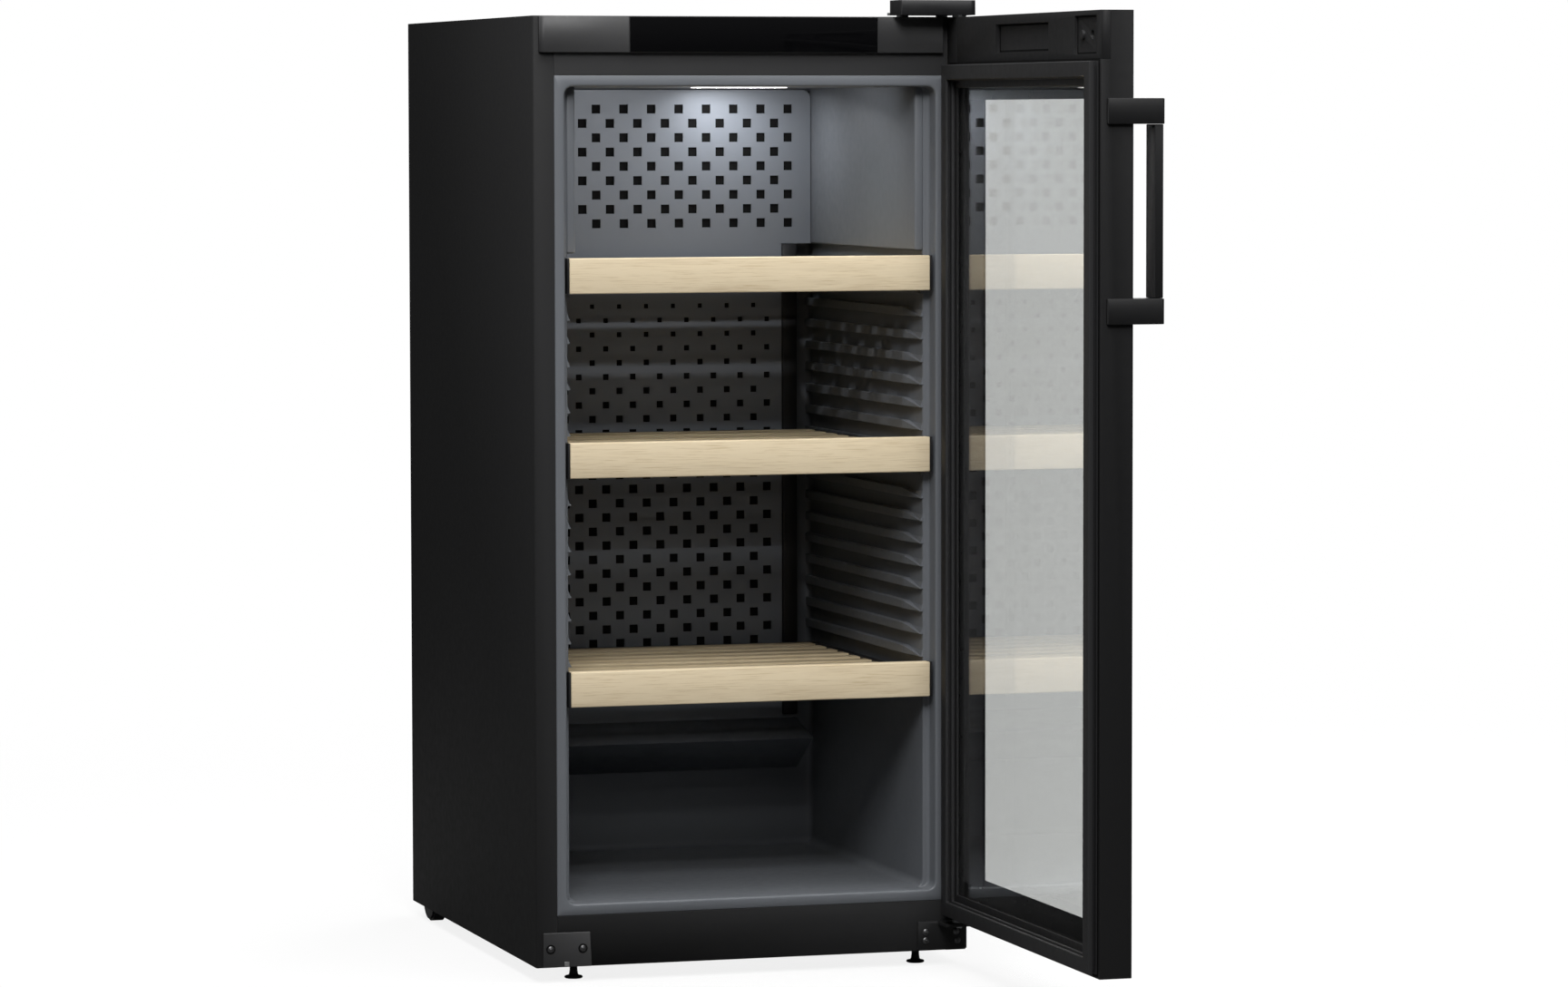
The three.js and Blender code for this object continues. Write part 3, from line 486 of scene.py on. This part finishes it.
FACE = 492.0  # front face of the air panel
FOLD = 2.0  # depth of the holes
PANEL_TOP, PANEL_CORNER = 1157.0, 12.0
UPPER_ROWS_FROM, UPPER_ROW, UPPER_HOLE, UPPER_COLUMN = 1140.3, 20, 12.5, 40
DUCT = (108.2, 488.8)  # the middle part, between the side trims
DUCT_ROWS_FROM, DUCT_ROW, DUCT_ROWS, DUCT_COLUMN = 864.1, 19.73, 25, 39.25
DUCT_HOLE, DUCT_HOLE_GROWTH, DUCT_HOLE_MOST = 6.2, 0.45, 12.0
DUCT_FROM = 271
FOOT = (87.2, 509.8, 197.4, DUCT_FROM)  # the lower part, behind the air guide


def quad(bm, corners):
    bm.faces.new([bm.verts.new(at(x, FACE, z)) for x, z in corners])


def plain_band(bm, x0, x1, z0, z1):
    quad(bm, [(x0, z0), (x1, z0), (x1, z1), (x0, z1)])


def holed_band(bm, x0, x1, z0, z1, columns, size):
    """One band of the air panel between heights z0 and z1 with a square hole at each column."""
    zc = (z0 + z1) / 2
    h = size / 2
    holes = [c for c in columns if x0 + h + 2 < c < x1 - h - 2]
    edges = [x0] + [(a + b) / 2 for a, b in zip(holes, holes[1:])] + [x1]
    for c, a, b in zip(holes, edges, edges[1:]):
        inner = [(c - h, zc - h), (c + h, zc - h), (c + h, zc + h), (c - h, zc + h)]
        outer = [(a, z0), (b, z0), (b, z1), (a, z1)]
        for i in range(4):
            j = (i + 1) % 4
            quad(bm, [outer[i], outer[j], inner[j], inner[i]])
            (xi, zi), (xj, zj) = inner[i], inner[j]
            side = (xi, FACE, zi), (xj, FACE, zj), (xj, FACE + FOLD, zj), (xi, FACE + FOLD, zi)
            bm.faces.new([bm.verts.new(at(*corner)) for corner in side])


def air_panel():
    """The perforated sheet before the cooling unit, its holes growing downwards in the middle part."""
    bm = bmesh.new()
    left, right = UPPER[0] + 1, UPPER[1] - 1
    # top part, full width, rounded at its upper corners
    z, top, r = UPPER_ROWS_FROM, PANEL_TOP, PANEL_CORNER
    turns = [math.radians(15 * k) for k in range(7)]
    arc = [(r * math.sin(t), r * math.cos(t)) for t in turns]
    quad(bm, [(left, z), (right, z)] + [(right - r + c, top - r + h) for c, h in reversed(arc)]
         + [(left + r - c, top - r + h) for c, h in arc])
    row = 0
    while z - UPPER_ROW > UPPER_FROM + 5:
        first, count = (98.5, 11) if row % 2 == 0 else (118.5, 10)
        columns = [first + UPPER_COLUMN * k for k in range(count)]
        holed_band(bm, left, right, z - UPPER_ROW, z, columns, UPPER_HOLE)
        z -= UPPER_ROW
        row += 1
    plain_band(bm, left, right, UPPER_FROM + 0.5, z)
    # middle part
    z = DUCT_ROWS_FROM
    plain_band(bm, *DUCT, z, UPPER_FROM + 0.5)
    for row in range(DUCT_ROWS):
        size = min(DUCT_HOLE_MOST, DUCT_HOLE + DUCT_HOLE_GROWTH * row)
        last = 447.4 if row % 2 == 0 else 467.0
        columns = [last - DUCT_COLUMN * k for k in range(9, -1, -1)]
        holed_band(bm, *DUCT, z - DUCT_ROW, z, columns, size)
        z -= DUCT_ROW
    plain_band(bm, *DUCT, DUCT_FROM, z)
    plain_band(bm, *FOOT)
    bmesh.ops.remove_doubles(bm, verts=bm.verts, dist=1e-6)
    piece("air_panel_sheet", finish_mesh(bm, "air_panel_sheet"), PANEL, "cabinet", ("rear_air_panel",),
          "grey_panel")
    # a near-black sheet just behind the holes: painted shade standing for the dark duct behind the
    # panel
    bm = bmesh.new()
    for x0, x1, z0, z1 in ((left, right, UPPER_FROM, 1156), (*DUCT, 200, UPPER_FROM)):
        add_box(bm, at(x0 + 1, FACE + 2.4, z0 + 1), at(x1 - 1, FACE + 3.4, z1 - 1))
    piece("air_panel_shade_sheet", finish_mesh(bm, "air_panel_shade_sheet"), SHADOW, "cabinet",
          slot="black_plastic")


# ------------------------------------------------------------------ door details

# rectangles on the door: from and to along its width, then its height
SEAL = (8.0, 584.0, 50.0, 1188.0)
SEAL_SHADE_LINE = (5.4, 586.6, 47.4, 1190.6)
PRINT_AREA, PRINT_WIDE = (33.2, 562.8, 80.0, 1161.3), 20.2
CAP_POCKET = (195.3, 398.7, 1202.0, 1237.9)
CAP_RECESS = (18.3, 96.7, 1196.5, 1243.9)


def ring_profile(bm, u0, u1, z0, z1, profile):
    """Sweeps a closed (inset, depth) profile round a rectangle on the door with mitred corners."""
    rings = []
    for u, z, su, sz in ((u0, z0, 1, 1), (u1, z0, -1, 1), (u1, z1, -1, -1), (u0, z1, 1, -1)):
        rings.append([on_door(u + su * inset, depth, z + sz * inset) for inset, depth in profile])
    bridge(bm, rings, True)


def gasket():
    """Magnetic seal: a soft base with two grooves and a rounded head."""
    bm = bmesh.new()
    profile = [(0.5, -0.4), (0.3, -2.0), (5.2, -3.0), (5.2, -5.0), (0.6, -6.2), (0.4, -11.4),
               (1.4, -13.0), (3.4, -13.3), (17.8, -13.3), (19.6, -12.9), (20.6, -11.6), (20.4, -9.4),
               (15.6, -8.4), (15.4, -6.0), (21.4, -5.0), (22.0, -3.6), (21.4, -0.4)]
    ring_profile(bm, *SEAL, profile)
    obj = piece("seal", finish_mesh(bm, "seal", True), RUBBER, "door", ("door_gasket",), "rubber")
    return soften(obj, 0.35, 2, 35)


def outline(name, rectangle, wide, d, deep, material):
    """A thin black frame round a rectangle on the door, from depth d: print on the panes, or a line of
    painted shade.
    """
    bm = bmesh.new()
    ring_profile(bm, *rectangle, [(0, d), (wide, d), (wide, d + deep), (0, d + deep)])
    return piece(name, finish_mesh(bm, name), material, "door", slot="black_plastic")


def screw(name, centre, axis, radius, material, body):
    """A pan-head screw with a cross recess, its head radius in millimetres."""
    high = radius / 4  # the profile's heights are those of a head with a 4 mm radius
    head = [(0.02, 1.5), (0.35, 1.48), (0.7, 1.15), (0.92, 0.6), (1.0, 0.0), (1.0, -0.3)]
    cross_long, cross_wide, cross_from, cross_deep = 0.55, 0.11, 1.35, 0.22
    bm = bmesh.new()
    add_turned(bm, [(r * radius, a * high) for r, a in head], centre, axis, 24)
    axis, side, other = square_to(axis)
    low = centre + axis * cross_from * high * MM
    top = axis * cross_deep * high * MM
    for i, j in ((side, other), (other, side)):
        arm, half = i * radius * cross_long * MM, j * radius * cross_wide * MM
        vs = [bm.verts.new(low + arm * s + half * h + t) for t in (Vector(), top)
              for s, h in ((-1, -1), (1, -1), (1, 1), (-1, 1))]
        bm.faces.new(vs[:4])
        bm.faces.new(vs[4:])
        for k in range(4):
            bm.faces.new((vs[k], vs[(k + 1) % 4], vs[4 + (k + 1) % 4], vs[4 + k]))
    return piece(name, finish_mesh(bm, name, True), material, body)


# ------------------------------------------------------------------ feet


def foot(side):
    low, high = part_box(f"front_foot_{side}")
    centre = Vector(((low.x + high.x) / 2, (low.y + high.y) / 2, low.z))
    profile = [(10.8, 0.0), (12.0, 0.7), (12.2, 2.0), (11.3, 3.1), (7.4, 3.9), (6.0, 5.4), (5.4, 9.6)]
    z = 9.6
    while z < 33:
        profile += [(5.4, z + 0.5), (4.8, z + 1.0)]
        z += 1.25
    profile.append((4.6, 33.8))
    return turned(f"foot_{side}", profile, centre, (0, 0, 1), BLACK, f"foot_{side}",
                  replaced=(f"front_foot_{side}",), slot="black_plastic")


# ------------------------------------------------------------------ making

MATERIALS = {
    STEEL: ["side_panel_left", "side_panel_right", "top_panel", "front_plinth"],
    DOOR_COAT: ["bottom_hinge_bracket", "door_frame", "handle_bracket_lower", "handle_bracket_upper",
                "handle_bar"],
    BEZEL: ["front_rail", "control_bezel", "corner_cover"],
    DOOR_PLASTIC: ["door_top_cap", "door_inner_frame"],
    BLACK: ["fan_housing", "fan_rotor", "drip_tray", "power_inlet", "top_hinge_cover",
            "door_glass_spacer", "compressor", "condenser", "rear_roller_left", "rear_roller_right"]
    + [f"shelf_{n}_{part}" for n in (1, 2, 3) for part in ("carrier", "rail_left", "rail_right")],
    ZINC: ["rear_panel", "base_pan", "top_hinge_bracket", "top_hinge_pin", "bottom_hinge_pin",
           "roller_housing_left", "roller_housing_right"],
    FINS: ["evaporator"],
    LINER: ["inner_liner"],
    PANEL: ["rear_air_panel"],
    GUIDE: ["lower_air_guide"],
    GLOSS: ["control_glass"],
    BOARD: ["control_board"],
    FOAM: ["insulation_foam"],
    RUBBER: ["door_gasket", "front_foot_left", "front_foot_right"],
    BEECH: [f"shelf_{n}_front_board" for n in (1, 2, 3)],
    SLAT: [f"shelf_{n}_slats" for n in (1, 2, 3)],
    PANE: ["door_outer_glass", "door_inner_glass"],
    LENS_GLOW: ["light_lens"],
}
for material, names in MATERIALS.items():
    for name in names:
        nodes[name].data.materials.clear()
        nodes[name].data.materials.append(material)

SOFT_EDGES = {
    0.5: ["side_panel_left", "side_panel_right", "front_plinth", "front_rail", "lower_air_guide"],
    1.0: ["control_bezel", "corner_cover", "bottom_hinge_bracket", "handle_bracket_lower",
          "handle_bracket_upper", "handle_bar", "door_top_cap", "door_frame", "door_inner_frame"],
    0.8: [f"shelf_{n}_carrier" for n in (1, 2, 3)] + [f"shelf_{n}_slats" for n in (1, 2, 3)],
    0.4: ["drip_tray", "power_inlet", "fan_housing"],
    1.5: ["top_hinge_cover"],
}
for width, names in SOFT_EDGES.items():
    for name in names:
        soften(nodes[name], width)

liner()
liner_blocks()
pilasters()
ribs()
air_panel()
gasket()
outline("inner_pane_print", PRINT_AREA, PRINT_WIDE, 7.65, 0.12, PRINT)
outline("outer_pane_print", PRINT_AREA, PRINT_WIDE, 38.4, 0.12, PRINT)
for n in (1, 2, 3):
    board = f"shelf_{n}_front_board"
    box_piece(f"shelf_{n}_board", *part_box(board), 1.6, BEECH, f"shelf_{n}", replaced=(board,),
              slot="pale_wood")
for side in ("left", "right"):
    foot(side)
CORNER_SCREWS = ((18.8, 24.6), (62.7, 24.5))
BRACKET_SCREWS = ((539, 25.5), (539, 14), (582, 25), (584, 13))
# flat near-black discs under the corner cover's screws: painted shade round their heads
SCREW_SHADE_DISC = [(6.4, 0), (6.4, 0.25), (0, 0.25)]
for k, (x, z) in enumerate(CORNER_SCREWS):
    turned(f"corner_cover_screw_shade_{k + 1}", SCREW_SHADE_DISC, at(x, -3.0, z), (0, -1, 0), SHADOW, "cabinet",
           slot="black_plastic")
    screw(f"corner_cover_screw_{k + 1}", at(x, -3.2, z), (0, -1, 0), 4.4, SCREW, "cabinet")
for k, (x, z) in enumerate(BRACKET_SCREWS):
    screw(f"bottom_bracket_screw_{k + 1}", at(x, -3.0, z), (0, -1, 0), 4.6, SCREW, "cabinet")
# a thin near-black ring round the seal: painted shadow of the gap between seal and door frame
outline("seal_painted_shade", SEAL_SHADE_LINE, 2.9, -0.3, 0.35, SHADOW)
# near-black lines round the door cap's pocket and recess: painted shade along their edges
outline("cap_pocket_shade_line", CAP_POCKET, 2.6, 5.55, 0.3, SHADOW)
outline("cap_recess_shade_line", CAP_RECESS, 2.2, 3.55, 0.3, SHADOW)
box_piece("lamp_strip", at(235, 48, 1157.3), at(362, 72, 1158.6), 0.5, LENS_GLOW, "cabinet",
          replaced=("light_lens",))
box_piece("touch_panel", *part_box("control_glass"), 0.8, GLOSS, "cabinet",
          replaced=("control_glass",), slot="black_glass")
box_piece("corner_cover_clip", at(37.5, -3.4, 1.5), at(44, -2.9, 7.5), 0.2, BRIGHT, "cabinet")

for side, x in (("left", 30), ("right", 567)):
    for k, z in enumerate((290, 600, 910, 1220)):
        screw(f"rear_screw_{side}_{k + 1}", at(x, 701.2, z), (0, 1, 0), 4.0, SCREW, "cabinet")
SUCTION = [at(480, 600, 118), at(497, 590, 160), at(500, 580, 205), at(500, 563, 228)]
DISCHARGE = [at(398, 600, 118), at(380, 592, 165), at(380, 580, 200), at(380, 563, 215)]
tube("suction_pipe", SUCTION, 4.0, COPPER, "cabinet")
tube("discharge_pipe", DISCHARGE, 3.0, COPPER, "cabinet")

# ------------------------------------------------------------------ light and floor

floor_bm = bmesh.new()
bmesh.ops.create_circle(floor_bm, cap_ends=True, segments=96, radius=4.0)
floor_mesh = bpy.data.meshes.new("floor")
floor_bm.to_mesh(floor_mesh)
floor_bm.free()
floor = bpy.data.objects.new("floor", floor_mesh)
floor.location = (0, 0, cad_box[0].z - 2e-4)
scene.collection.objects.link(floor)
# pale near the object, and let through to the white surroundings further out
floor_look = Nodes("floor_pale")
pale = floor_look.ramp(floor_look.noise(0.6, 2), (0.3, (0.84, 0.84, 0.84)), (0.7, (0.86, 0.86, 0.86)))
floor_look.link(pale, floor_look.shader.inputs["Base Color"])
floor_look.set(Roughness=0.9, Specular_IOR_Level=0.1)
length = floor_look.add("VectorMath", operation="LENGTH")
floor_look.link(floor_look.place, length.inputs[0])
fade = floor_look.add("MapRange", interpolation_type="SMOOTHSTEP")
for key, value in (("From Min", 0.7), ("From Max", 3.6), ("To Min", 0.85), ("To Max", 1.0)):
    fade.inputs[key].default_value = value
floor_look.link(length.outputs["Value"], fade.inputs["Value"])
away = floor_look.add("MixShader")
floor_look.link(fade.outputs["Result"], away.inputs["Fac"])
floor_look.link(floor_look.shader.outputs["BSDF"], away.inputs[1])
floor_look.link(floor_look.add("BsdfTransparent").outputs["BSDF"], away.inputs[2])
floor_look.link(away.outputs["Shader"], floor_look.tree.nodes["Material Output"].inputs["Surface"])
floor_mesh.materials.append(floor_look.material)

world = bpy.data.worlds.new("studio")
world.use_nodes = True
scene.world = world
tree = world.node_tree
background = tree.nodes["Background"]
direction = tree.nodes.new("ShaderNodeTexCoord").outputs["Generated"]
height = tree.nodes.new("ShaderNodeSeparateXYZ")
sky = tree.nodes.new("ShaderNodeMapRange")
for key, value in (("From Min", -0.3), ("From Max", 0.8), ("To Min", 0.015), ("To Max", 0.13)):
    sky.inputs[key].default_value = value
tree.links.new(direction, height.inputs["Vector"])
tree.links.new(height.outputs["Z"], sky.inputs["Value"])
background.inputs["Color"].default_value = (1, 1, 1, 1)
tree.links.new(sky.outputs["Result"], background.inputs["Strength"])
# white to the camera, straight or through the panes, but dim as a source of light
seen = tree.nodes.new("ShaderNodeBackground")
seen.inputs["Color"].default_value = (1, 1, 1, 1)
path = tree.nodes.new("ShaderNodeLightPath")
value = path.outputs["Is Transmission Ray"]
STEPS = (("SUBTRACT", "Diffuse Depth"), ("SUBTRACT", "Glossy Depth"), ("MAXIMUM", "Is Camera Ray"))
for kind, other in STEPS:
    step = tree.nodes.new("ShaderNodeMath")
    step.operation = kind
    step.use_clamp = True
    tree.links.new(value, step.inputs[0])
    tree.links.new(path.outputs[other], step.inputs[1])
    value = step.outputs["Value"]
mix = tree.nodes.new("ShaderNodeMixShader")
tree.links.new(value, mix.inputs["Fac"])
tree.links.new(background.outputs["Background"], mix.inputs[1])
tree.links.new(seen.outputs["Background"], mix.inputs[2])
tree.links.new(mix.outputs["Shader"], tree.nodes["World Output"].inputs["Surface"])


def lamp(name, size, place, target, power, color=(1, 1, 1)):
    data = bpy.data.lights.new(name, "AREA")
    data.shape = "RECTANGLE"
    data.size, data.size_y = size
    data.energy = power
    data.color = color
    obj = bpy.data.objects.new(name, data)
    obj.location = place
    obj.rotation_euler = (Vector(target) - Vector(place)).to_track_quat("-Z", "Y").to_euler()
    scene.collection.objects.link(obj)
    return obj


lamp("overhead", (4, 4), (0, -0.8, 4.2), (0, -0.6, 0), 225)
lamp("front_left", (1.4, 1.4), (-1.1, -3.4, 3.3), (0, 0, 1.15), 116)
lamp("back_right", (3, 3), (3.6, 4.2, 3.0), (0, 0, 0.6), 190)
lamp("left", (3, 3), (-4.6, 1.6, 3.0), (0, 0, 1.1), 38)
COOL = (0.95, 0.97, 1.0)
inside = lamp("inside", (0.10, 0.05), at(400, 415, 1156), at(410, 440, 900), 0.42, COOL)
inside.data.spread = math.radians(175)
lamp("inside_front", (0.118, 0.018), at(298.5, 60, 1155.5), at(298.5, 330, 1000), 1.3, COOL)

scene.view_settings.view_transform = "Standard"
scene.view_settings.look = "None"
